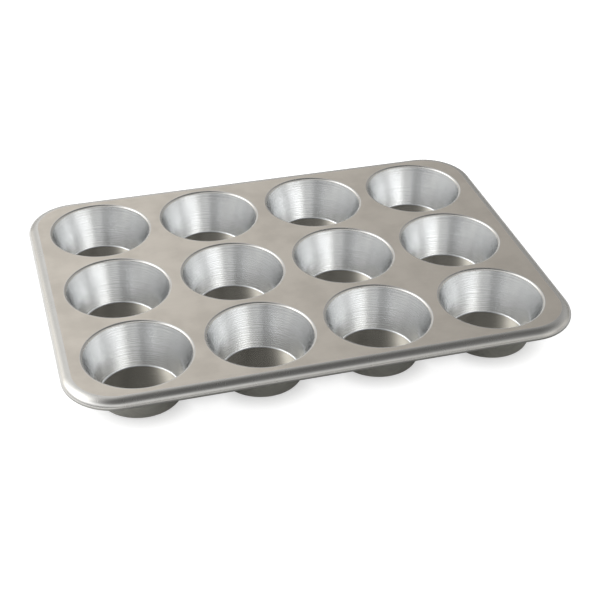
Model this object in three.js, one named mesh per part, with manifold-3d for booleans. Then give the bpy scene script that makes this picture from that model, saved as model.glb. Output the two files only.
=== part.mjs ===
// Muffin pan: one drawn aluminium sheet with a stiffening wire rolled into its rim.
// Millimetres, +Z up, X along the longer side. The origin is under the middle of the pan,
// at the level of the cups' undersides.
import * as THREE from "three";
import { mergeGeometries, mergeVertices } from "three/addons/utils/BufferGeometryUtils.js";
import Module from "manifold-3d";

// Cup pattern
const COLUMNS = 4;
const ROWS = 3;
const PITCH_X = 81.0;
const PITCH_Y = 77.5;

// Cups, measured on the inside
const MOUTH_DIAMETER = 73.6; // where the flat plate ends and the lip starts to turn down
const LIP_RADIUS = 1.8;
const CUP_DEPTH = 31.0; // plate top to cup floor
const FLOOR_DIAMETER = 51.0; // flat floor, inside its fillet
const FLOOR_FILLET = 2.0;

// Sheet and plate
const SHEET = 0.8;
const END_MARGIN = 7.4; // flat plate past the outer mouths, along X
const SIDE_MARGIN = 3.3; // flat plate past the outer mouths, along Y
const CORNER_RADIUS = 28.2; // corners of the flat plate

// Rim: three arcs, each tighter than the last. Each turn is counted from the flat plate.
const SHOULDER_RADIUS = 8.0;
const SHOULDER_TURN = THREE.MathUtils.degToRad(40);
const ROLL_RADIUS = 5.0; // turns on down to nearly upright
const ROLL_TURN = THREE.MathUtils.degToRad(76);
const CURL_TURN = THREE.MathUtils.degToRad(240); // the curl runs on under the wire to the raw edge
const WIRE_DIAMETER = 1.8;
const WIRE_CLEARANCE = 0.3;

// Facets
const CUP_SIDES = 24;
const CORNER_STEPS = 6;
const LIP_STEPS = 3;
const FILLET_STEPS = 2;
const SHOULDER_STEPS = 3;
const ROLL_STEPS = 3;
const CURL_STEPS = 7;
const WIRE_SIDES = 10;

// What the sizes above give
const FLOOR_TOP = SHEET;
const PLATE_TOP = FLOOR_TOP + CUP_DEPTH;
const PLATE_UNDERSIDE = PLATE_TOP - SHEET;
const MOUTH_RADIUS = MOUTH_DIAMETER / 2;
const FLOOR_RADIUS = FLOOR_DIAMETER / 2;
const PLATE_HALF_X = ((COLUMNS - 1) * PITCH_X) / 2 + MOUTH_RADIUS + END_MARGIN;
const PLATE_HALF_Y = ((ROWS - 1) * PITCH_Y) / 2 + MOUTH_RADIUS + SIDE_MARGIN;
const CURL_RADIUS = WIRE_DIAMETER / 2 + WIRE_CLEARANCE + SHEET;

const QUARTER = Math.PI / 2;

// Centres of the rim's arcs, as (distance outside the plate's edge, level). Where one arc hands over to the
// next they share a normal, so the next centre lies on it.
const SHOULDER_CENTRE = new THREE.Vector2(0, PLATE_TOP - SHOULDER_RADIUS);
const ROLL_CENTRE = nextCentre(SHOULDER_CENTRE, SHOULDER_RADIUS - ROLL_RADIUS, SHOULDER_TURN);
const CURL_CENTRE = nextCentre(ROLL_CENTRE, ROLL_RADIUS - CURL_RADIUS, ROLL_TURN);

function nextCentre(centre, step, turn) {
  return new THREE.Vector2(centre.x + step * Math.sin(turn), centre.y + step * Math.cos(turn));
}

const wasm = await Module();
wasm.setup();

// Points on an arc, both ends included; angles in radians, counted from the first axis.
function arc(centre, radius, from, to, steps) {
  const points = [];
  for (let step = 0; step <= steps; step += 1) {
    const angle = from + ((to - from) * step) / steps;
    points.push(new THREE.Vector2(centre.x + radius * Math.cos(angle), centre.y + radius * Math.sin(angle)));
  }
  return points;
}

// A closed geometry becomes a solid that can be joined with others.
function toSolid(geometry) {
  const bare = geometry.clone();
  bare.deleteAttribute("normal");
  bare.deleteAttribute("uv");
  const merged = mergeVertices(bare);
  const mesh = new wasm.Mesh({
    numProp: 3,
    vertProperties: merged.attributes.position.array,
    triVerts: Uint32Array.from(merged.index.array),
  });
  return new wasm.Manifold(mesh);
}

function toGeometry(solid) {
  const mesh = solid.getMesh();
  const geometry = new THREE.BufferGeometry();
  geometry.setAttribute("position", new THREE.BufferAttribute(mesh.vertProperties, 3));
  geometry.setIndex(new THREE.BufferAttribute(mesh.triVerts, 1));
  geometry.computeVertexNormals();
  return geometry;
}

function cupCentres() {
  const centres = [];
  for (let row = 0; row < ROWS; row += 1) {
    for (let column = 0; column < COLUMNS; column += 1) {
      const x = (column - (COLUMNS - 1) / 2) * PITCH_X;
      const y = (row - (ROWS - 1) / 2) * PITCH_Y;
      centres.push(new THREE.Vector2(x, y));
    }
  }
  return centres;
}

// Lean of the cup wall from the vertical, so that it is tangent to the lip and to the floor fillet.
function wallLean() {
  const run = MOUTH_RADIUS - FLOOR_RADIUS;
  const rise = PLATE_TOP - LIP_RADIUS - (FLOOR_TOP + FLOOR_FILLET);
  return Math.acos((LIP_RADIUS + FLOOR_FILLET) / Math.hypot(run, rise)) - Math.atan2(rise, run);
}

// One face of the cup wall from the floor up to the plate; depth is how far it lies behind the inside face.
function cupFace(depth) {
  const lean = wallLean();
  const filletCentre = new THREE.Vector2(FLOOR_RADIUS, FLOOR_TOP + FLOOR_FILLET);
  const lipCentre = new THREE.Vector2(MOUTH_RADIUS, PLATE_TOP - LIP_RADIUS);
  return [
    new THREE.Vector2(0, FLOOR_TOP - depth),
    ...arc(filletCentre, FLOOR_FILLET + depth, -QUARTER, -lean, FILLET_STEPS),
    ...arc(lipCentre, LIP_RADIUS - depth, Math.PI - lean, QUARTER, LIP_STEPS),
  ];
}

// A plug that fills the cup up to one of its faces and stands half a sheet past the plate's same face.
function cupPlug(depth, centre) {
  const plugTop = PLATE_TOP - depth + SHEET / 2;
  const section = [
    ...cupFace(depth),
    new THREE.Vector2(MOUTH_RADIUS, plugTop),
    new THREE.Vector2(0, plugTop),
  ];
  const geometry = new THREE.LatheGeometry(section, CUP_SIDES);
  geometry.rotateX(QUARTER);
  geometry.translate(centre.x, centre.y, 0);
  return toSolid(geometry);
}

// Corner spokes of the plate's outline, anticlockwise: where each starts and which way it points.
function cornerSpokes() {
  const spokes = [];
  const insetX = PLATE_HALF_X - CORNER_RADIUS;
  const insetY = PLATE_HALF_Y - CORNER_RADIUS;
  const corners = [[1, 1], [-1, 1], [-1, -1], [1, -1]];
  corners.forEach(([signX, signY], corner) => {
    for (let step = 0; step <= CORNER_STEPS; step += 1) {
      const angle = QUARTER * (corner + step / CORNER_STEPS);
      const start = new THREE.Vector2(signX * insetX, signY * insetY);
      spokes.push({ start, along: new THREE.Vector2(Math.cos(angle), Math.sin(angle)) });
    }
  });
  return spokes;
}

// Carries a section, given anticlockwise as (distance outside the plate's edge, level), round the pan.
// Its last point joins its first where it is closed.
function carryRound(section, closed) {
  const spokes = cornerSpokes();
  const positions = [];
  const index = [];
  spokes.forEach(({ start, along }) => {
    section.forEach((point) => {
      const place = along.clone().multiplyScalar(CORNER_RADIUS + point.x).add(start);
      positions.push(place.x, place.y, point.y);
    });
  });
  const count = section.length;
  const strips = closed ? count : count - 1;
  spokes.forEach((_, spoke) => {
    const here = spoke * count;
    const next = ((spoke + 1) % spokes.length) * count;
    for (let j = 0; j < strips; j += 1) {
      const k = (j + 1) % count;
      index.push(here + j, next + j, here + k);
      index.push(here + k, next + j, next + k);
    }
  });
  const geometry = new THREE.BufferGeometry();
  geometry.setAttribute("position", new THREE.Float32BufferAttribute(positions, 3));
  geometry.setIndex(index);
  geometry.computeVertexNormals();
  return geometry;
}

// One face of the rim from the plate out to the raw edge; depth is how far it lies behind the outer face.
function rimFace(depth) {
  const [start, shoulderEnd, rollEnd, rawEdge] = [0, SHOULDER_TURN, ROLL_TURN, CURL_TURN].map((turn) => {
    return QUARTER - turn;
  });
  const shoulder = arc(SHOULDER_CENTRE, SHOULDER_RADIUS - depth, start, shoulderEnd, SHOULDER_STEPS);
  const roll = arc(ROLL_CENTRE, ROLL_RADIUS - depth, shoulderEnd, rollEnd, ROLL_STEPS);
  const curl = arc(CURL_CENTRE, CURL_RADIUS - depth, rollEnd, rawEdge, CURL_STEPS);
  return [...shoulder, ...roll.slice(1), ...curl.slice(1)];
}

// The flat of the plate at one level, up or down facing.
function plateFace(level, facing) {
  const outline = cornerSpokes().map(({ start, along }) => {
    return along.clone().multiplyScalar(CORNER_RADIUS).add(start);
  });
  const geometry = new THREE.ShapeGeometry(new THREE.Shape(outline));
  if (facing < 0) {
    geometry.index.array.reverse();
  }
  geometry.translate(0, 0, level);
  geometry.deleteAttribute("uv");
  return geometry;
}

// The sheet before its cups are drawn: two flats joined by the rolled rim.
function blankSolid() {
  const rim = carryRound([...rimFace(SHEET), ...rimFace(0).reverse()], false);
  const faces = [plateFace(PLATE_TOP, 1), plateFace(PLATE_UNDERSIDE, -1), rim];
  return toSolid(mergeGeometries(faces));
}

// Each cup is drawn into the blank: its outside is added and its hollow taken away.
function panBody() {
  let sheet = blankSolid();
  cupCentres().forEach((centre) => {
    sheet = sheet.add(cupPlug(SHEET, centre)).subtract(cupPlug(0, centre));
  });
  const aluminium = new THREE.MeshStandardMaterial({ color: 0xb9b4ab, roughness: 0.42, metalness: 1.0 });
  const body = new THREE.Mesh(toGeometry(sheet), aluminium);
  body.name = "pan_body";
  return body;
}

// The wire lies in the middle of the curl all the way round.
function rimWire() {
  const section = arc(CURL_CENTRE, WIRE_DIAMETER / 2, 0, 2 * Math.PI, WIRE_SIDES).slice(1);
  const steel = new THREE.MeshStandardMaterial({ color: 0x8d9092, roughness: 0.5, metalness: 1.0 });
  const wire = new THREE.Mesh(carryRound(section, true), steel);
  wire.name = "rim_wire";
  return wire;
}

const pan = new THREE.Group();
pan.name = "muffin_pan";
pan.add(panBody(), rimWire());

export default pan;
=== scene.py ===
"""Muffin pan of natural aluminium: the looks of its drawn sheet and of the wire in its rolled rim.

Lengths are metres in the part's own frame: +Z up, X along the longer side, the origin under the middle
of the pan at the level of the cups' undersides.
"""

from __future__ import annotations

import logging
import math
from dataclasses import dataclass, field
from enum import Enum
from typing import Any

import bpy
import numpy as np
from mathutils import Matrix, Vector


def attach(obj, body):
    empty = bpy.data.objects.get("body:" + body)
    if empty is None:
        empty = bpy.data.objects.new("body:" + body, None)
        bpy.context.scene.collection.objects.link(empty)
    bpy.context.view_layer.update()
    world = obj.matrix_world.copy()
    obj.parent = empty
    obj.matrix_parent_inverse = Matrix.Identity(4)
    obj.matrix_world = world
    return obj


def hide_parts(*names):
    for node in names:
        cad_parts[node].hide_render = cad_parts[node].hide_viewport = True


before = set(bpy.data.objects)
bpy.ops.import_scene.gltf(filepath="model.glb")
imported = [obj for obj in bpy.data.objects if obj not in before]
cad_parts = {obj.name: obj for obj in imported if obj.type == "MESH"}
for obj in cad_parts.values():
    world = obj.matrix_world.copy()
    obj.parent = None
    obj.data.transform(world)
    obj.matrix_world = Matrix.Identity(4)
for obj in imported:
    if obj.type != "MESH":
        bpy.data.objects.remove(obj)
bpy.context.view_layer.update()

IMAGE_SIDE = 600.0  # pixels, both ways
SENSOR_WIDTH = 36.0  # millimetres
WELD = 1e-7  # points nearer than this are one point
UP = np.array([0.0, 0.0, 1.0])
ORIGIN = (0.0, 0.0, 0.0)
WHITE = (1.0, 1.0, 1.0)
TURN = 2.0 * math.pi  # a whole turn

log = logging.getLogger("muffin_pan")


class Zone(Enum):
    """Areas of the sheet with a finish of their own; the value is the material slot."""

    PLATE = 0
    WALL = 1
    FLOOR = 2
    UNDERSIDE = 3
    EDGE = 4
    CURL = 5


# Node helpers


class Graph:
    """Adds nodes to one node tree and links them as they are named."""

    def __init__(self, tree: bpy.types.NodeTree) -> None:
        """Takes the tree that the nodes go into."""
        self.tree = tree

    def add(self, kind: str, inputs: dict[Any, Any] | None = None, **settings: Any) -> bpy.types.Node:
        """Adds one node.

        Args:
            kind: Blender's name of the node type, without its ShaderNode prefix.
            inputs: for each input, a socket to link or a value to set.
            settings: properties of the node itself.

        Returns:
            The new node.
        """
        name = kind if kind.startswith("Node") else "ShaderNode" + kind
        node = self.tree.nodes.new(name)
        for key, value in settings.items():
            setattr(node, key, value)
        for key, value in (inputs or {}).items():
            self.feed(node.inputs[key], value)
        return node

    def feed(self, socket: bpy.types.NodeSocket, value: Any) -> None:
        """Links a socket to an input, or sets the input's own value.

        Args:
            socket: the input.
            value: a socket to link, or a plain value.
        """
        if isinstance(value, bpy.types.NodeSocket):
            self.tree.links.new(value, socket)
        else:
            socket.default_value = value

    def math(self, operation: str, first: Any, second: Any = 0.0, third: Any = 0.0) -> bpy.types.NodeSocket:
        """Gives the result of one math operation on sockets or numbers."""
        node = self.add("Math", {0: first, 1: second, 2: third}, operation=operation)
        return node.outputs[0]

    def vector(self, operation: str, first: Any, second: Any = ORIGIN) -> bpy.types.NodeSocket:
        """Gives the vector that one operation makes of sockets or values."""
        return self.add("VectorMath", {0: first, 1: second}, operation=operation).outputs[0]

    def measure(self, operation: str, first: Any, second: Any = ORIGIN) -> bpy.types.NodeSocket:
        """Gives the number that one vector operation makes of sockets or values."""
        return self.add("VectorMath", {0: first, 1: second}, operation=operation).outputs["Value"]

    def ramp(
        self, value: Any, low: float, high: float, start: Any = 0.0, end: Any = 1.0
    ) -> bpy.types.NodeSocket:
        """Gives start below low and end above high, with a smooth step between them."""
        inputs = {"Value": value, "From Min": low, "From Max": high, "To Min": start, "To Max": end}
        return self.add("MapRange", inputs, interpolation_type="SMOOTHSTEP").outputs[0]

    def tint(self, factor: Any, first: Any, second: Any, blend: str = "MIX") -> bpy.types.NodeSocket:
        """Gives two colours mixed by a factor."""
        node = self.add("Mix", {"Factor": factor, 6: first, 7: second}, data_type="RGBA", blend_type=blend)
        return node.outputs[2]

    def noise(self, vector: Any, scale: Any, detail: float, roughness: float = 0.5) -> bpy.types.NodeSocket:
        """Gives a noise value from 0 to 1 at a place."""
        inputs = {"Vector": vector, "Scale": scale, "Detail": detail, "Roughness": roughness}
        return self.add("TexNoise", inputs).outputs[0]


def new_group(
    name: str, takes: dict[str, str], gives: dict[str, str]
) -> tuple[bpy.types.NodeTree, Graph, Any, Any]:
    """Starts a shader node group.

    Args:
        name: what the group is called.
        takes: the socket type of each named input.
        gives: the socket type of each named output.

    Returns:
        The tree, a graph to add its nodes with, its inputs and its outputs.
    """
    tree = bpy.data.node_groups.new(name, "ShaderNodeTree")
    for label, kind in takes.items():
        tree.interface.new_socket(label, in_out="INPUT", socket_type="NodeSocket" + kind)
    for label, kind in gives.items():
        tree.interface.new_socket(label, in_out="OUTPUT", socket_type="NodeSocket" + kind)
    graph = Graph(tree)
    source = graph.add("NodeGroupInput").outputs
    sink = graph.add("NodeGroupOutput").inputs
    return tree, graph, source, sink


class Effects:
    """The shader node groups that several finishes share."""

    RING_DRIFT = (0.9, 260.0, 0.9)  # noise cells of the rings' unevenness: round, down and round the wall
    RING_SHIFT = 2.2  # how many rings it moves one by
    RING_DEPTHS = (0.1, 0.5)  # of the faintest ring and of the deepest
    DEPTH_CELLS = 2.3  # noise cells of the depth for each one of the drift
    DEPTH_SPAN = (0.3, 0.7)  # noise that gives those two depths
    SMUDGE_SPAN = (0.35, 0.7)  # noise where a smudge starts and where it is full
    SCRATCH_SPAN = (0.72, 0.78)  # the same for a scratch
    SCRATCH_TURNS = (0.35, 1.9)  # directions of the scratches, in radians
    SCRATCH_CELLS = (55.0, 2600.0, 55.0)  # per metre along a scratch, across it and in depth

    def __init__(self) -> None:
        """Builds each group once."""
        self.lines = self._lines()
        self.rings = self._rings()
        self.handling = self._handling()

    def _lines(self) -> bpy.types.NodeTree:
        """Fine lines from rolls or a drawing tool: noise that is close only along its second axis.

        Returns:
            A group that takes a place and the noise's cells per metre along and across the lines, and gives
            a height.
        """
        takes = {"Vector": "Vector", "Along": "Float", "Across": "Float"}
        tree, graph, source, sink = new_group("fine_lines", takes, {"Height": "Float"})
        parts = graph.add("SeparateXYZ", {0: source["Vector"]}).outputs
        along = graph.math("MULTIPLY", parts[0], source["Along"])
        across = graph.math("MULTIPLY", parts[1], source["Across"])
        depth = graph.math("MULTIPLY", parts[2], source["Along"])
        place = graph.add("CombineXYZ", {0: along, 1: across, 2: depth}).outputs[0]
        graph.feed(sink["Height"], graph.noise(place, 1.0, 1.0, 0.5))
        return tree

    def _rings(self) -> bpy.types.NodeTree:
        """Rings that a drawing tool leaves round a cup: a sine down the wall, uneven in its pitch and depth.

        Returns:
            A group that takes metres down the wall, between the sine and cosine of the angle round the cup,
            and the rings per metre. It gives a height from 0 to 1.
        """
        takes = {"Vector": "Vector", "Rings": "Float"}
        tree, graph, source, sink = new_group("tool_rings", takes, {"Height": "Float"})
        place = graph.vector("MULTIPLY", source["Vector"], self.RING_DRIFT)
        uneven = graph.noise(place, 1.0, 1.0)
        down = graph.add("SeparateXYZ", {0: source["Vector"]}).outputs[1]
        shift = graph.math("MULTIPLY", uneven, self.RING_SHIFT)
        count = graph.math("MULTIPLY_ADD", down, source["Rings"], shift)
        wave = graph.math("SINE", graph.math("MULTIPLY", count, TURN))
        depth = graph.noise(place, self.DEPTH_CELLS, 0.0)
        deep = graph.ramp(depth, *self.DEPTH_SPAN, *self.RING_DEPTHS)
        graph.feed(sink["Height"], graph.math("MULTIPLY_ADD", wave, deep, 0.5))
        return tree

    def _handling(self) -> bpy.types.NodeTree:
        """Marks of handling: broad soft smudges and short thin scratches in two directions.

        Returns:
            A group that takes a place and the smudges' size per metre, and gives the two masks.
        """
        takes = {"Vector": "Vector", "Smudges": "Float"}
        gives = {"Smudge": "Float", "Scratch": "Float"}
        tree, graph, source, sink = new_group("handling_marks", takes, gives)
        smudge = graph.noise(source["Vector"], source["Smudges"], 4.0, 0.55)
        graph.feed(sink["Smudge"], graph.ramp(smudge, *self.SMUDGE_SPAN))
        scratches = []
        for turn in self.SCRATCH_TURNS:
            turned = graph.add("Mapping", {"Vector": source["Vector"], "Rotation": (0.0, 0.0, turn)})
            long = graph.vector("MULTIPLY", turned.outputs[0], self.SCRATCH_CELLS)
            scratches.append(graph.ramp(graph.noise(long, 1.0, 1.0), *self.SCRATCH_SPAN))
        graph.feed(sink["Scratch"], graph.math("MAXIMUM", *scratches))
        return tree


# Finishes


@dataclass(frozen=True)
class Finish:
    """A bare metal finish: its colour, its gloss and how much its marks show.

    Smudges and lines are counted per metre, and the lines' height is in metres. The rest are shares.
    """

    LINE_SPAN = (0.25, 0.75)  # heights of the darkest and the lightest line
    SCRATCH_ROUGHNESS = 0.1  # roughness that a scratch adds for each one of its depth
    name: str
    colour: tuple[float, float, float]
    roughness: float
    roughness_spread: float
    smudge_size: float
    smudge_depth: float
    line_along: float
    line_across: float
    line_height: float
    line_shade: float = 0.05
    scratch_depth: float = 0.4
    anisotropy: float = 0.0

    def place(self, graph: Graph) -> bpy.types.NodeSocket:
        """Gives the coordinates that the marks lie in: the part's own frame."""
        return graph.add("TexCoord").outputs["Object"]

    def relief(self, graph: Graph, effects: Effects) -> bpy.types.NodeSocket:
        """Makes the fine lines, which run along the pan.

        Args:
            graph: the material's nodes.
            effects: the shared shader groups.

        Returns:
            Their height.
        """
        inputs = {"Vector": self.place(graph), "Along": self.line_along, "Across": self.line_across}
        lines = graph.add("Group", node_tree=effects.lines)
        for name, value in inputs.items():
            graph.feed(lines.inputs[name], value)
        return lines.outputs["Height"]

    def material(self, effects: Effects) -> bpy.types.Material:
        """Makes the material.

        Args:
            effects: the shared shader groups.

        Returns:
            A metal whose colour, gloss and fine relief change over the surface.
        """
        material = bpy.data.materials.new(self.name)
        material.use_nodes = True
        graph = Graph(material.node_tree)
        shader = material.node_tree.nodes["Principled BSDF"]
        place = self.place(graph)
        marks = graph.add("Group", node_tree=effects.handling)
        graph.feed(marks.inputs["Vector"], place)
        graph.feed(marks.inputs["Smudges"], self.smudge_size)
        clean = (*self.colour, 1.0)
        dull = (*(c * (1.0 - self.smudge_depth) for c in self.colour), 1.0)
        colour = graph.tint(marks.outputs["Smudge"], clean, dull)
        height = self.relief(graph, effects)
        shade = graph.ramp(height, *self.LINE_SPAN, 1.0 - self.line_shade, 1.0 + self.line_shade)
        grey = graph.add("CombineColor", {0: shade, 1: shade, 2: shade}).outputs[0]
        colour = graph.tint(1.0, colour, grey, "MULTIPLY")
        rough = graph.math("MULTIPLY_ADD", marks.outputs["Smudge"], self.roughness_spread, self.roughness)
        rougher = self.scratch_depth * self.SCRATCH_ROUGHNESS
        rough = graph.math("MULTIPLY_ADD", marks.outputs["Scratch"], rougher, rough)
        scratched = graph.math("MULTIPLY_ADD", marks.outputs["Scratch"], -self.scratch_depth, height)
        bump = graph.add("Bump", {"Height": scratched, "Distance": self.line_height, "Strength": 1.0})
        graph.feed(shader.inputs["Base Color"], colour)
        graph.feed(shader.inputs["Roughness"], rough)
        graph.feed(shader.inputs["Normal"], bump.outputs[0])
        shader.inputs["Metallic"].default_value = 1.0
        if self.anisotropy:
            shader.inputs["Anisotropic"].default_value = self.anisotropy
            tangent = graph.add("Tangent", direction_type="UV_MAP", uv_map=Skin.UV_NAME)
            graph.feed(shader.inputs["Tangent"], tangent.outputs[0])
        return material


@dataclass(frozen=True)
class DrawnFinish(Finish):
    """Metal ironed by a drawing tool, with rings round the cup: line_across counts them per metre."""

    def relief(self, graph: Graph, effects: Effects) -> bpy.types.NodeSocket:
        """Makes the rings from the UV map: metres down the wall, and the sine and cosine of its turn.

        Args:
            graph: the material's nodes.
            effects: the shared shader groups.

        Returns:
            Their height.
        """
        parts = graph.add("SeparateXYZ", {0: graph.add("UVMap", uv_map=Skin.UV_NAME).outputs[0]}).outputs
        turn = graph.math("MULTIPLY", parts[1], TURN)
        sine, cosine = graph.math("SINE", turn), graph.math("COSINE", turn)
        place = graph.add("CombineXYZ", {0: sine, 1: parts[0], 2: cosine}).outputs[0]
        rings = graph.add("Group", node_tree=effects.rings)
        graph.feed(rings.inputs["Vector"], place)
        graph.feed(rings.inputs["Rings"], self.line_across)
        return rings.outputs["Height"]


# Surfaces


@dataclass(frozen=True)
class Profile:
    """A section line: its points and the normals that leave the metal there, one row each."""

    points: np.ndarray
    normals: np.ndarray

    @classmethod
    def arc(
        cls, centre: tuple[float, float], radius: float, start: float, end: float, steps: int, side: float
    ) -> Profile:
        """Makes an arc: centre plus radius times the unit vector at each angle.

        Args:
            centre: the arc's centre.
            radius: its radius.
            start: the angle of its first point, in radians.
            end: the angle of its last point.
            steps: how many steps lie between them.
            side: 1 where the metal is on the centre's side, -1 where it is on the other.

        Returns:
            The arc.
        """
        angle = np.linspace(start, end, steps + 1)
        spoke = np.column_stack([np.cos(angle), np.sin(angle)])
        return cls(np.array(centre) + radius * spoke, side * spoke)

    def then(self, other: Profile) -> Profile:
        """Joins a profile that starts where this one ends."""
        points = np.concatenate([self.points, other.points[1:]])
        return Profile(points, np.concatenate([self.normals, other.normals[1:]]))

    def line_to(self, end: np.ndarray, steps: int) -> Profile:
        """Goes on in a straight line with the last normal: equal steps from the last point to the end.

        Args:
            end: where the line ends.
            steps: how many steps it has.

        Returns:
            The longer profile.
        """
        share = np.linspace(0.0, 1.0, steps + 1)[:, None]
        points = self.points[-1] * (1.0 - share) + np.asarray(end) * share
        return self.then(Profile(points, np.repeat(self.normals[-1:], steps + 1, axis=0)))

    def behind(self, depth: float) -> Profile:
        """Gives the sheet's other face: each point moved back along its normal, facing the other way."""
        return Profile(self.points - depth * self.normals, -self.normals)

    def run(self) -> np.ndarray:
        """Gives the length run along the line at each point."""
        steps = np.linalg.norm(np.diff(self.points, axis=0), axis=1)
        return np.concatenate([[0.0], np.cumsum(steps)])


@dataclass(frozen=True)
class Outline:
    """The rounded rectangle of the flat plate, run anticlockwise from the left end of its front side."""

    half_x: float
    half_y: float
    corner: float

    def straights(self) -> np.ndarray:
        """Gives the lengths of the four straight sides: front, right, back, left."""
        return 2.0 * np.array([self.half_x - self.corner, self.half_y - self.corner] * 2)

    def starts(self) -> np.ndarray:
        """Gives the length run at the start of each straight side, then the whole length."""
        lengths = self.straights() + self.corner * math.pi / 2.0
        return np.concatenate([[0.0], np.cumsum(lengths)])

    def at(self, run: np.ndarray) -> tuple[np.ndarray, np.ndarray]:
        """Gives places on the outline: each side runs straight, then a quarter round its corner's centre.

        Args:
            run: lengths run along the outline.

        Returns:
            The points and the unit vectors that point outwards there.
        """
        starts = self.starts()
        run = np.mod(run, starts[-1])
        side = np.clip(np.searchsorted(starts, run, side="right") - 1, 0, 3)
        local = run - starts[side]
        straight = self.straights()[side]
        ahead = np.array([[1.0, 0.0], [0.0, 1.0], [-1.0, 0.0], [0.0, -1.0]])[side]
        out = np.array([[0.0, -1.0], [1.0, 0.0], [0.0, 1.0], [-1.0, 0.0]])[side]
        inner = np.array([self.half_x - self.corner, self.half_y - self.corner])
        centres = (inner * [[-1.0, -1.0], [1.0, -1.0], [1.0, 1.0], [-1.0, 1.0]])[side]
        gone = np.minimum(local, straight)[:, None]
        turn = (np.maximum(local - straight, 0.0) / self.corner)[:, None]
        normal = out * np.cos(turn) + ahead * np.sin(turn)
        return centres + ahead * gone + self.corner * normal, normal


@dataclass
class Skin:
    """Gathers surface grids and welds them into one closed mesh."""

    UV_NAME = "surface"
    points: list[np.ndarray] = field(default_factory=list)
    normals: list[np.ndarray] = field(default_factory=list)
    maps: list[np.ndarray] = field(default_factory=list)
    quads: list[np.ndarray] = field(default_factory=list)
    fans: list[np.ndarray] = field(default_factory=list)
    quad_slots: list[np.ndarray] = field(default_factory=list)
    fan_slots: list[np.ndarray] = field(default_factory=list)
    count: int = 0

    def add(
        self,
        points: np.ndarray,
        normals: np.ndarray,
        uv: np.ndarray,
        slot: int,
        flip: bool,
        pole: bool = False,
    ) -> None:
        """Adds a grid of points, whose neighbours in rows and columns make four-sided faces.

        Args:
            points: rows by columns by 3.
            normals: as points.
            uv: rows by columns by 2.
            slot: the material slot of the faces.
            flip: whether the faces look the other way from rows crossed with columns.
            pole: whether the last row is one point, so that the last strip is a fan of triangles.
        """
        rows, columns = points.shape[:2]
        index = self.count + np.arange(rows * columns).reshape(rows, columns)
        self.count += rows * columns
        self.points.append(points.reshape(-1, 3))
        self.normals.append(np.broadcast_to(normals, points.shape).reshape(-1, 3))
        self.maps.append(uv.reshape(-1, 2))
        strips = index[:-1] if pole else index
        a, b, c, d = strips[:-1, :-1], strips[:-1, 1:], strips[1:, 1:], strips[1:, :-1]
        quads = np.stack([a, b, c, d], axis=-1).reshape(-1, 4)
        self.quads.append(quads[:, ::-1] if flip else quads)
        self.quad_slots.append(np.full(len(quads), slot))
        if pole:
            fan = np.stack([index[-2, :-1], index[-2, 1:], index[-1, :-1]], axis=-1)
            self.fans.append(fan[:, ::-1] if flip else fan)
            self.fan_slots.append(np.full(len(fan), slot))

    def mesh(self, name: str) -> bpy.types.Mesh:
        """Welds the grids along their shared edges.

        Args:
            name: what the mesh is called.

        Returns:
            A smooth mesh with a UV map, material slots and the surfaces' own normals.
        """
        points = np.concatenate(self.points)
        keys = np.round(points / WELD).astype(np.int64)
        _, first, place = np.unique(keys, axis=0, return_index=True, return_inverse=True)
        place = place.ravel()
        quads = np.concatenate(self.quads)
        fans = np.concatenate(self.fans) if self.fans else np.zeros((0, 3), int)
        corners = np.concatenate([quads.ravel(), fans.ravel()])
        slots = np.concatenate(self.quad_slots + self.fan_slots)
        mesh = bpy.data.meshes.new(name)
        mesh.from_pydata(points[first].tolist(), [], place[quads].tolist() + place[fans].tolist())
        mesh.polygons.foreach_set("material_index", slots.astype(np.int32))
        mesh.polygons.foreach_set("use_smooth", np.ones(len(slots), bool))
        layer = mesh.uv_layers.new(name=self.UV_NAME)
        layer.data.foreach_set("uv", np.concatenate(self.maps)[corners].astype(np.float32).ravel())
        mesh.normals_split_custom_set(np.concatenate(self.normals)[corners].tolist())
        mesh.update()
        return mesh


def at_level(flat: np.ndarray, level: float) -> np.ndarray:
    """Gives a flat grid its level: x and y, then the same z all over."""
    return np.concatenate([flat, np.full(flat.shape[:2] + (1,), level)], axis=2)


def swept(profile: Profile, start: np.ndarray, out: np.ndarray, along: np.ndarray) -> tuple[np.ndarray, ...]:
    """Sweeps a profile round a path: start plus distance times the outward vector, at the profile's level.

    Args:
        profile: distance outwards and level along the section.
        start: where the distance is counted from, one point or one for each place on the path.
        out: the unit vector that points outwards at each place.
        along: what the UV map counts round the path.

    Returns:
        Points, normals and the UV map: metres along the section, then the count round the path.
    """
    shape = (len(profile.points), len(out), 1)
    level = np.broadcast_to(profile.points[:, 1:, None], shape)
    points = np.concatenate([start + profile.points[:, :1, None] * out, level], axis=2)
    rise = np.broadcast_to(profile.normals[:, 1:, None], shape)
    normals = np.concatenate([profile.normals[:, :1, None] * out, rise], axis=2)
    down, around = np.meshgrid(profile.run(), along, indexing="ij")
    return points, normals, np.stack([down, around], axis=2)


def show(mesh: bpy.types.Mesh, materials: list[bpy.types.Material]) -> bpy.types.Object:
    """Puts a mesh into the scene at the origin.

    Args:
        mesh: the mesh, already in its place.
        materials: its materials, in the order of its slots.

    Returns:
        The object.
    """
    for material in materials:
        mesh.materials.append(material)
    piece = bpy.data.objects.new(mesh.name, mesh)
    bpy.context.scene.collection.objects.link(piece)
    return piece


# The pan


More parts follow.
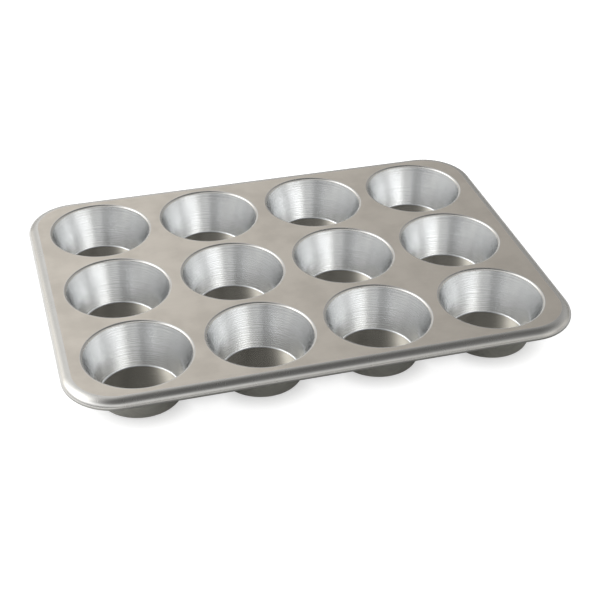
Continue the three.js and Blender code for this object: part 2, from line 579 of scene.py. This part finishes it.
@dataclass
class PanSheet:
    """The one aluminium sheet: the plate, its cups and the rim that is rolled round the wire."""

    columns: int = 4
    rows: int = 3
    pitch_x: float = 0.081
    pitch_y: float = 0.0775
    mouth_radius: float = 0.0368
    lip_radius: float = 0.0018
    cup_depth: float = 0.031
    floor_radius: float = 0.02623
    floor_fillet: float = 0.001
    heel_radius: float = 0.0028
    thickness: float = 0.0008
    end_margin: float = 0.00737
    side_margin: float = 0.00327
    corner_radius: float = 0.0282
    shoulder_radius: float = 0.008
    shoulder_turn: float = math.radians(40.0)
    roll_radius: float = 0.005
    roll_turn: float = math.radians(76.0)
    curl_turn: float = math.radians(240.0)
    wire_diameter: float = 0.0018
    wire_clearance: float = 0.0003
    side_steps: int = 24
    lip_steps: int = 6
    wall_steps: int = 10
    fillet_steps: int = 5
    floor_steps: int = 4
    plate_steps: int = 3
    shoulder_steps: int = 6
    roll_steps: int = 6
    curl_steps: int = 20

    @property
    def plate_top(self) -> float:
        """Level of the plate's upper face."""
        return self.thickness + self.cup_depth

    @property
    def curl_outside(self) -> float:
        """Outer radius of the curl."""
        return self.wire_diameter / 2.0 + self.wire_clearance + self.thickness

    @property
    def roll_centre(self) -> tuple[float, float]:
        """Centre of the roll's arc, on the line from the shoulder's centre to the shoulder's end.

        Returns:
            Its distance outside the plate's edge and its level.
        """
        less = self.shoulder_radius - self.roll_radius
        turn = self.shoulder_turn
        return (less * math.sin(turn), self.plate_top - self.shoulder_radius + less * math.cos(turn))

    @property
    def curl_centre(self) -> tuple[float, float]:
        """Centre of the curl and of the wire, on the line from the roll's centre to the roll's end.

        Returns:
            Its distance outside the plate's edge and its level.
        """
        less = self.roll_radius - self.curl_outside
        out, level = self.roll_centre
        return (out + less * math.sin(self.roll_turn), level + less * math.cos(self.roll_turn))

    @property
    def outline(self) -> Outline:
        """Edge of the flat plate: the outer mouths' reach plus the margins.

        Returns:
            The outline.
        """
        half_x = (self.columns - 1) * self.pitch_x / 2.0 + self.mouth_radius + self.end_margin
        half_y = (self.rows - 1) * self.pitch_y / 2.0 + self.mouth_radius + self.side_margin
        return Outline(half_x, half_y, self.corner_radius)

    def wall_lean(self) -> float:
        """Works out the lean that makes the wall tangent to the lip's arc and to the fillet's.

        Returns:
            The lean from the vertical, in radians.
        """
        run = self.mouth_radius - self.floor_radius
        rise = self.plate_top - self.lip_radius - self.thickness - self.floor_fillet
        radii = self.lip_radius + self.floor_fillet
        return math.acos(radii / math.hypot(run, rise)) - math.atan2(rise, run)

    def cup_sections(self) -> list[tuple[Profile, Zone]]:
        """Makes the inside of the cup from its mouth to its floor: lip arc, straight wall, fillet arc.

        Returns:
            Each section's radius and level at its points, with the zone whose finish it has.
        """
        lean = self.wall_lean()
        lip_centre = (self.mouth_radius, self.plate_top - self.lip_radius)
        fillet_centre = (self.floor_radius, self.thickness + self.floor_fillet)
        lip = Profile.arc(lip_centre, self.lip_radius, math.pi / 2.0, math.pi - lean, self.lip_steps, 1.0)
        fillet = Profile.arc(fillet_centre, self.floor_fillet, -lean, -math.pi / 2.0, self.fillet_steps, -1.0)
        wall = Profile(lip.points[-1:], lip.normals[-1:]).line_to(fillet.points[0], self.wall_steps)
        return [(lip, Zone.EDGE), (wall, Zone.WALL), (fillet, Zone.WALL)]

    def cup_back(self) -> list[tuple[Profile, Zone]]:
        """Makes the outside of the cup: the lip and the wall a sheet behind the inside, then a rounder heel.

        The heel's centre is as far from the wall's line as from the underside.

        Returns:
            Each section's radius and level at its points, with the zone whose finish it has.
        """
        lean = self.wall_lean()
        more = self.heel_radius - self.floor_fillet - self.thickness
        centre = (self.floor_radius - more * (1.0 - math.sin(lean)) / math.cos(lean), self.heel_radius)
        heel = Profile.arc(centre, self.heel_radius, -lean, -math.pi / 2.0, self.fillet_steps, 1.0)
        lip = self.cup_sections()[0][0].behind(self.thickness)
        wall = Profile(lip.points[-1:], lip.normals[-1:]).line_to(heel.points[0], self.wall_steps)
        return [(profile, Zone.UNDERSIDE) for profile in (lip, wall, heel)]

    def rim_sections(self) -> list[tuple[Profile, Zone]]:
        """Makes the rim's outer face: shoulder arc over, roll arc down, curl arc under the wire.

        Each arc starts where the last one ends and has the same normal there.

        Returns:
            Each section's distance outside the plate's edge and level, with the zone whose finish it has.
        """
        bends = [math.pi / 2.0 - turn for turn in (0.0, self.shoulder_turn, self.roll_turn, self.curl_turn)]
        centres = [(0.0, self.plate_top - self.shoulder_radius), self.roll_centre, self.curl_centre]
        radii = [self.shoulder_radius, self.roll_radius, self.curl_outside]
        steps = [self.shoulder_steps, self.roll_steps, self.curl_steps]
        shoulder, roll, curl = (
            Profile.arc(centre, radius, start, end, count, 1.0)
            for centre, radius, start, end, count in zip(centres, radii, bends, bends[1:], steps)
        )
        return [(shoulder.then(roll), Zone.EDGE), (curl, Zone.CURL)]

    def edge_runs(self) -> np.ndarray:
        """Gives the lengths along the outline where the cells' border points lie.

        The outline is split where the lines between cells meet it and half way round each corner cell, and
        each part has equal steps.

        Returns:
            The lengths in order, starting at the front left corner cell's middle.
        """
        outline = self.outline
        starts = outline.starts()
        inner = np.array([outline.half_x, outline.half_y] * 2) - outline.corner
        lines_x = (np.arange(1, self.columns) - self.columns / 2.0) * self.pitch_x
        lines_y = (np.arange(1, self.rows) - self.rows / 2.0) * self.pitch_y
        splits = [starts[side] + inner[side] + lines for side, lines in enumerate([lines_x, lines_y] * 2)]
        knots = []
        for side, before in enumerate(splits[-1:] + splits[:-1]):
            last = before[-1] - (starts[-1] if side == 0 else 0.0)
            knots.append(np.concatenate([[(last + splits[side][0]) / 2.0], splits[side]]))
        ends = np.concatenate(knots)
        ends = np.concatenate([ends, ends[:1] + starts[-1]])
        share = np.arange(self.side_steps) / self.side_steps
        return (ends[:-1, None] + np.diff(ends)[:, None] * share).ravel()

    def cell_border(self, row: int, column: int, edge: np.ndarray) -> np.ndarray:
        """Makes one cell's border anticlockwise from its front left corner.

        It is straight where another cell lies beside it and follows the outline elsewhere.

        Args:
            row: the cell's row, from the front.
            column: its column, from the left.
            edge: the outline's points at the edge runs.

        Returns:
            The border's points, with the first one again at the end.
        """
        steps = self.side_steps
        xs = (np.array([column, column + 1]) - self.columns / 2.0) * self.pitch_x
        ys = (np.array([row, row + 1]) - self.rows / 2.0) * self.pitch_y
        half_x, half_y = self.outline.half_x, self.outline.half_y
        xs = np.where(np.array([column == 0, column == self.columns - 1]), [-half_x, half_x], xs)
        ys = np.where(np.array([row == 0, row == self.rows - 1]), [-half_y, half_y], ys)
        corners = np.array([[xs[0], ys[0]], [xs[1], ys[0]], [xs[1], ys[1]], [xs[0], ys[1]], [xs[0], ys[0]]])
        outer = [row == 0, column == self.columns - 1, row == self.rows - 1, column == 0]
        order = [
            column,
            self.columns + row,
            2 * self.columns + self.rows - 1 - column,
            2 * self.columns + 2 * self.rows - 1 - row,
        ]
        share = (np.arange(steps) / steps)[:, None]
        sides = []
        for side in range(4):
            start = order[side] * steps
            inside = corners[side] * (1.0 - share) + corners[side + 1] * share
            sides.append(edge[start : start + steps] if outer[side] else inside)
        border = np.concatenate(sides)
        return np.concatenate([border, border[:1]])

    def add_cup(self, skin: Skin, border: np.ndarray, centre: np.ndarray) -> None:
        """Adds both faces of one cell: flat from the border to the mouth, then the cup turned about its axis.

        Args:
            skin: what the grids go into.
            border: the cell's border.
            centre: the cup's centre.
        """
        angle = np.linspace(-0.75 * math.pi, 1.25 * math.pi, 4 * self.side_steps + 1)
        angle[-1] = angle[0]
        spokes = np.column_stack([np.cos(angle), np.sin(angle)])
        turn = np.linspace(0.0, 1.0, len(angle))
        faces = (
            (self.cup_sections(), Zone.PLATE, Zone.FLOOR, 1.0),
            (self.cup_back(), Zone.UNDERSIDE, Zone.UNDERSIDE, -1.0),
        )
        for sections, flat_zone, floor_zone, side in faces:
            flip = side < 0
            lip, fillet = sections[0][0], sections[-1][0]
            mouth = centre + lip.points[0, 0] * spokes
            share = np.linspace(0.0, 1.0, self.plate_steps + 1)[:, None, None]
            flat = border * (1.0 - share) + mouth * share
            skin.add(at_level(flat, lip.points[0, 1]), side * UP, flat, flat_zone.value, flip)
            for profile, zone in sections:
                skin.add(*swept(profile, centre, spokes, turn), zone.value, flip)
            radii = np.linspace(1.0, 0.0, self.floor_steps + 1)[:, None, None] * fillet.points[-1, 0]
            floor = centre + radii * spokes
            points = at_level(floor, fillet.points[-1, 1])
            skin.add(points, side * UP, floor, floor_zone.value, flip, pole=True)

    def carried(self, profile: Profile) -> tuple[np.ndarray, ...]:
        """Carries a profile round the outline.

        Args:
            profile: distance outside the plate's edge and level.

        Returns:
            Points, normals and the UV map, which runs across the rim and then along it, in metres.
        """
        runs = self.edge_runs()
        edge, out = self.outline.at(np.concatenate([runs, runs[:1]]))
        along = np.concatenate([runs, runs[:1] + self.outline.starts()[-1]])
        return swept(profile, edge, out, along)

    def build(self, effects: Effects) -> bpy.types.Object:
        """Builds the sheet as one closed shell and dresses it.

        Args:
            effects: the shared shader groups.

        Returns:
            The piece.
        """
        skin = Skin()
        edge, _ = self.outline.at(self.edge_runs())
        for row in range(self.rows):
            for column in range(self.columns):
                place = [column - (self.columns - 1) / 2.0, row - (self.rows - 1) / 2.0]
                centre = np.array(place) * [self.pitch_x, self.pitch_y]
                self.add_cup(skin, self.cell_border(row, column, edge), centre)
        sections = self.rim_sections()
        face = sections[0][0].then(sections[1][0])
        back = face.behind(self.thickness)
        raw = np.stack([face.points[-1], back.points[-1]])
        along = np.array([-face.normals[-1, 1], face.normals[-1, 0]])
        raw_edge = Profile(raw, np.repeat(-along[None], 2, axis=0))
        hidden = Profile(back.points[::-1], back.normals[::-1])
        for profile, zone in (*sections, (raw_edge, Zone.UNDERSIDE), (hidden, Zone.UNDERSIDE)):
            skin.add(*self.carried(profile), zone.value, True)
        piece = show(skin.mesh("pan_sheet"), self.finishes(effects))
        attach(piece, "root")
        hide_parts("pan_body")
        return piece

    def finishes(self, effects: Effects) -> list[bpy.types.Material]:
        """Makes the sheet's finishes in the order of its zones.

        Args:
            effects: the shared shader groups.

        Returns:
            The materials.
        """
        plate = Finish(
            "satin_plate", (0.695, 0.64, 0.567), roughness=0.32, roughness_spread=0.06, smudge_size=45.0,
            smudge_depth=0.09, line_along=60.0, line_across=900.0, line_height=1e-6, line_shade=0.008,
            scratch_depth=0.3,
        )
        wall = DrawnFinish(
            "drawn_wall", (0.835, 0.84, 0.84), roughness=0.23, roughness_spread=0.02, smudge_size=40.0,
            smudge_depth=0.03, line_along=0.0, line_across=640.0, line_height=2.5e-5, line_shade=0.05,
            scratch_depth=0.0, anisotropy=0.85,
        )
        # Painted shade: the cup floors are the plate's own sheet, but their colour is made about half as
        # bright, standing in for the shade and dark reflections at the bottom of each cup.
        floor = Finish(
            "cup_floor_painted_shade", (0.385, 0.362, 0.314), roughness=0.07, roughness_spread=0.03, smudge_size=60.0,
            smudge_depth=0.08, line_along=20.0, line_across=900.0, line_height=1e-6, line_shade=0.03,
            scratch_depth=0.2,
        )
        under = Finish(
            "dull_underside", (0.62, 0.61, 0.56), roughness=0.13, roughness_spread=0.08, smudge_size=30.0,
            smudge_depth=0.12, line_along=20.0, line_across=1200.0, line_height=3e-6, line_shade=0.05,
            scratch_depth=0.3,
        )
        edge = Finish(
            "burnished_edge", (0.65, 0.637, 0.61), roughness=0.24, roughness_spread=0.04, smudge_size=60.0,
            smudge_depth=0.05, line_along=60.0, line_across=900.0, line_height=1e-6, line_shade=0.01,
            scratch_depth=0.2,
        )
        # Painted shade: the curl under the bead is coloured darker than the rest of the rim, standing in for
        # the shadowed floor that it mirrors, not a duller metal.
        curl = Finish(
            "curl_painted_shade", (0.415, 0.407, 0.384), roughness=0.3, roughness_spread=0.06, smudge_size=60.0,
            smudge_depth=0.08, line_along=60.0, line_across=900.0, line_height=1e-6, line_shade=0.02,
            scratch_depth=0.2,
        )
        return [finish.material(effects) for finish in (plate, wall, floor, under, edge, curl)]


@dataclass
class RimWire:
    """The galvanised wire that stiffens the rim, in the middle of the curl."""

    sheet: PanSheet
    section_steps: int = 18

    def build(self, effects: Effects) -> bpy.types.Object:
        """Builds the wire: a circle carried round the outline.

        Args:
            effects: the shared shader groups.

        Returns:
            The piece.
        """
        radius = self.sheet.wire_diameter / 2.0
        section = Profile.arc(self.sheet.curl_centre, radius, 0.0, TURN, self.section_steps, 1.0)
        section.points[-1] = section.points[0]
        skin = Skin()
        skin.add(*self.sheet.carried(section), 0, False)
        zinc = Finish(
            "galvanised_wire", (0.55, 0.56, 0.57), roughness=0.45, roughness_spread=0.15, smudge_size=300.0,
            smudge_depth=0.25, line_along=60.0, line_across=900.0, line_height=4e-6,
        )
        piece = show(skin.mesh("stiffening_wire"), [zinc.material(effects)])
        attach(piece, "root")
        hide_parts("rim_wire")
        return piece


# The studio


@dataclass(frozen=True)
class Ring:
    """Soft patches of light evenly round the tent at one elevation, in degrees, with no hard edges."""

    elevation: float
    first_azimuth: float
    levels: tuple[float, ...]
    colour: tuple[float, float, float]
    sharpness: float = 18.0

    def strength(self, graph: Graph) -> bpy.types.NodeSocket:
        """Adds up the patches: each falls from its level as e to its sharpness times cosine less 1.

        Args:
            graph: the world's nodes.

        Returns:
            The ring's brightness in every direction.
        """
        towards = graph.add("TexCoord").outputs["Generated"]
        rise = math.radians(self.elevation)
        total: Any = 0.0
        for number, level in enumerate(self.levels):
            turn = math.radians(self.first_azimuth + 360.0 * number / len(self.levels))
            middle = (math.sin(turn) * math.cos(rise), -math.cos(turn) * math.cos(rise), math.sin(rise))
            cosine = graph.measure("DOT_PRODUCT", towards, middle)
            fall = graph.math("MULTIPLY_ADD", cosine, self.sharpness, -self.sharpness)
            total = graph.math("MULTIPLY_ADD", graph.math("EXPONENT", fall), level, total)
        return total


@dataclass
class Studio:
    """White floor, a light tent with a window on the left, and the camera.

    Spans are distances from one end of a soft change in the floor's white, its painted shadow and its painted
    window light, to the other: outside the pan's outline, from a cup's axis, or along X.
    """

    sheet: PanSheet
    floor_level: float = -0.0002
    floor_half: float = 40.0
    floor_white: float = 0.6
    floor_roughness: float = 0.9
    # Levels of the floor's white for the camera: lower in the painted shadow under the pan and near the cups,
    # higher clear of them.
    lift_under: float = 0.52
    lift_clear: float = 0.86
    mirrored_lift: float = 0.245
    # Painted light: a pool of window light on the floor at the left, seen only by the metal.
    painted_window_light: float = 0.65
    plate_painted_shade_span: tuple[float, float] = (-0.04, -0.018)
    cup_painted_shade_span: tuple[float, float] = (0.025, 0.044)
    mirrored_span: tuple[float, float] = (0.05, 0.3)
    painted_light_x_span: tuple[float, float] = (-0.21, -0.13)
    footprint: tuple[float, float, float] = (0.1725, 0.1245, 0.06)  # half of each side, then the corners
    tent_level: float = 0.15
    azimuth: float = math.radians(-16.318)
    elevation: float = math.radians(34.660)
    roll: float = math.radians(0.763)
    focal_pixels: float = 1290.6
    clip: tuple[float, float] = (0.01, 100.0)
    distance: float = 0.8739
    target: tuple[float, float, float] = (-0.00518, -0.04716, 0.0318)

    def build(self) -> None:
        """Builds the floor, the light and the camera, and sets how colours are shown."""
        scene = bpy.context.scene
        scene.view_settings.view_transform = "Standard"
        self.floor()
        self.world()
        scene.camera = self.camera()

    def rings(self) -> list[Ring]:
        """Lists the tent's rings. Each starts at the back and runs anticlockwise, seen from above.

        Returns:
            The rings from the lowest up, brightest at the window on the left and the back left.
        """
        low = (0.37, 1.12, 0.13, 0.0, 0.25, 0.74, 0.58, 0.18)
        middle = (0.65, 0.1, 1.76, 1.78, 1.03, 0.57, 0.7, 0.18, 0.41, 0.1, 0.33, 0.13)
        high = (0.31, 1.08, 1.38, 0.0, 0.0, 0.0, 0.0, 0.04, 0.0, 0.0)
        return [
            Ring(12.0, -180.0, low, (1.04, 1.01, 0.95)),
            Ring(32.0, -180.0, middle, (0.985, 1.0, 1.015)),
            Ring(54.0, -180.0, high, WHITE, 30.0),
        ]

    def floor(self) -> bpy.types.Object:
        """Makes the floor: one flat square whose white the camera and the metal see, with its shadow kept and
        painted shade added. The camera's white is lower under the pan and near each cup, which tightens the
        contact shadow, and the metal sees painted light on the floor beside the window.

        It is clear from below, so that the pan's underside can be looked at.

        Returns:
            The floor.
        """
        side = np.array([-self.floor_half, self.floor_half])
        x, y = np.meshgrid(side, side, indexing="ij")
        corners = np.stack([x, y, np.full_like(x, self.floor_level)], axis=-1).reshape(-1, 3)
        mesh = bpy.data.meshes.new("floor")
        mesh.from_pydata(corners.tolist(), [], [(0, 2, 3, 1)])
        material = bpy.data.materials.new("white_floor")
        material.use_nodes = True
        graph = Graph(material.node_tree)
        shader = material.node_tree.nodes["Principled BSDF"]
        shader.inputs["Base Color"].default_value = (self.floor_white,) * 3 + (1.0,)
        shader.inputs["Roughness"].default_value = self.floor_roughness
        shader.inputs["Specular IOR Level"].default_value = 0.0
        path = graph.add("LightPath").outputs
        # Painted shadow: the white that the camera sees is lower under the pan's outline and near each cup's
        # axis, which darkens a tight contact shadow there beyond the light's own.
        levels = (self.lift_under, self.lift_clear)
        painted_shadow_by_plate = self.by_distance(graph, self.plate_painted_shade_span, levels)
        painted_shadow_by_cup = graph.ramp(self.from_cup(graph), *self.cup_painted_shade_span, *levels)
        lift = graph.math("MULTIPLY", path["Is Camera Ray"], graph.math("MINIMUM", painted_shadow_by_plate, painted_shadow_by_cup))
        mirrored = graph.math("MAXIMUM", path["Is Glossy Ray"], path["Is Transmission Ray"])
        # Painted light: the metal sees the floor whiter beside the pan on the window's side, a painted pool
        # of window light.
        across = graph.add("SeparateXYZ", {0: graph.add("TexCoord").outputs["Object"]}).outputs[0]
        beside = graph.ramp(across, *self.painted_light_x_span, self.painted_window_light, 0.0)
        around = self.by_distance(graph, self.mirrored_span, (0.0, self.mirrored_lift))
        mirrored = graph.math("MULTIPLY", mirrored, graph.math("MAXIMUM", beside, around))
        shader.inputs["Emission Color"].default_value = (*WHITE, 1.0)
        graph.feed(shader.inputs["Emission Strength"], graph.math("MAXIMUM", lift, mirrored))
        clear = graph.add("BsdfTransparent").outputs[0]
        below = graph.add("NewGeometry").outputs["Backfacing"]
        faces = graph.add("MixShader", {0: below, 1: shader.outputs[0], 2: clear}).outputs[0]
        graph.feed(material.node_tree.nodes["Material Output"].inputs["Surface"], faces)
        return show(mesh, [material])

    def by_distance(
        self, graph: Graph, span: tuple[float, float], levels: tuple[float, float]
    ) -> bpy.types.NodeSocket:
        """Gives a level that changes smoothly with the distance outside the pan's outline.

        The distance is the length of what is left of a place's |x| and |y| past the corners' centres, less
        the corners' radius.

        Args:
            graph: the floor's material.
            span: the distances where the change starts and ends, below 0 under the pan.
            levels: what is given before and after it.

        Returns:
            The level.
        """
        half_x, half_y, corner = self.footprint
        place = graph.vector("ABSOLUTE", graph.add("TexCoord").outputs["Object"])
        past = graph.vector("SUBTRACT", place, (half_x - corner, half_y - corner, 1.0))
        reach = graph.measure("LENGTH", graph.vector("MAXIMUM", past, ORIGIN))
        return graph.ramp(reach, corner + span[0], corner + span[1], *levels)

    def from_cup(self, graph: Graph) -> bpy.types.NodeSocket:
        """Gives the distance from the nearest cup's axis: the length of what is left of x and y past it.

        The number of the nearest cup along each side is the place over the pitch, rounded, and no less than
        the first or more than the last.

        Args:
            graph: the floor's material.

        Returns:
            The distance.
        """
        place = graph.add("SeparateXYZ", {0: graph.add("TexCoord").outputs["Object"]}).outputs
        pitches = (self.sheet.pitch_x, self.sheet.pitch_y)
        rest = []
        for side, cups in enumerate((self.sheet.columns, self.sheet.rows)):
            pitch, half = pitches[side], (cups - 1) / 2.0
            number = graph.math("ROUND", graph.math("MULTIPLY_ADD", place[side], 1.0 / pitch, half))
            number = graph.math("MINIMUM", graph.math("MAXIMUM", number, 0.0), cups - 1.0)
            middle = graph.math("MULTIPLY_ADD", number, pitch, -half * pitch)
            rest.append(graph.math("SUBTRACT", place[side], middle))
        flat = graph.add("CombineXYZ", {0: rest[0], 1: rest[1]}).outputs[0]
        return graph.measure("LENGTH", flat)

    def world(self) -> None:
        """Makes the tent: an even level plus the rings."""
        world = bpy.data.worlds.new("light_tent")
        world.use_nodes = True
        graph = Graph(world.node_tree)
        graph.tree.nodes.clear()
        light = graph.add("Background", {"Strength": self.tent_level}).outputs[0]
        for ring in self.rings():
            inputs = {"Color": (*ring.colour, 1.0), "Strength": ring.strength(graph)}
            patches = graph.add("Background", inputs).outputs[0]
            light = graph.add("AddShader", {0: light, 1: patches}).outputs[0]
        graph.add("OutputWorld", {"Surface": light})
        bpy.context.scene.world = world

    def camera(self) -> bpy.types.Object:
        """Makes the camera: it looks at the target from its azimuth and elevation, rolled a little.

        Returns:
            The camera.
        """
        sin_a, cos_a = math.sin(self.azimuth), math.cos(self.azimuth)
        sin_e, cos_e = math.sin(self.elevation), math.cos(self.elevation)
        back = Vector((sin_a * cos_e, -cos_a * cos_e, sin_e))
        level = Vector((cos_a, sin_a, 0.0))
        rise = back.cross(level)
        right = math.cos(self.roll) * level + math.sin(self.roll) * rise
        up = back.cross(right)
        data = bpy.data.cameras.new("camera")
        data.sensor_width = SENSOR_WIDTH
        data.lens = SENSOR_WIDTH * self.focal_pixels / IMAGE_SIDE
        data.clip_start, data.clip_end = self.clip
        camera = bpy.data.objects.new("camera", data)
        turn = Matrix((right, up, back)).transposed().to_4x4()
        camera.matrix_world = Matrix.Translation(Vector(self.target) + back * self.distance) @ turn
        bpy.context.scene.collection.objects.link(camera)
        return camera


def main() -> None:
    """Builds the pan, its wire and the studio, and reports each piece."""
    logging.basicConfig(level=logging.INFO, format="%(name)s: %(message)s")
    effects = Effects()
    sheet = PanSheet()
    for piece in (sheet.build(effects), RimWire(sheet).build(effects)):
        mesh = piece.data
        mesh.calc_loop_triangles()
        log.info("%s: %d points, %d triangles", piece.name, len(mesh.vertices), len(mesh.loop_triangles))
    Studio(sheet).build()


if __name__ == "__main__":
    main()
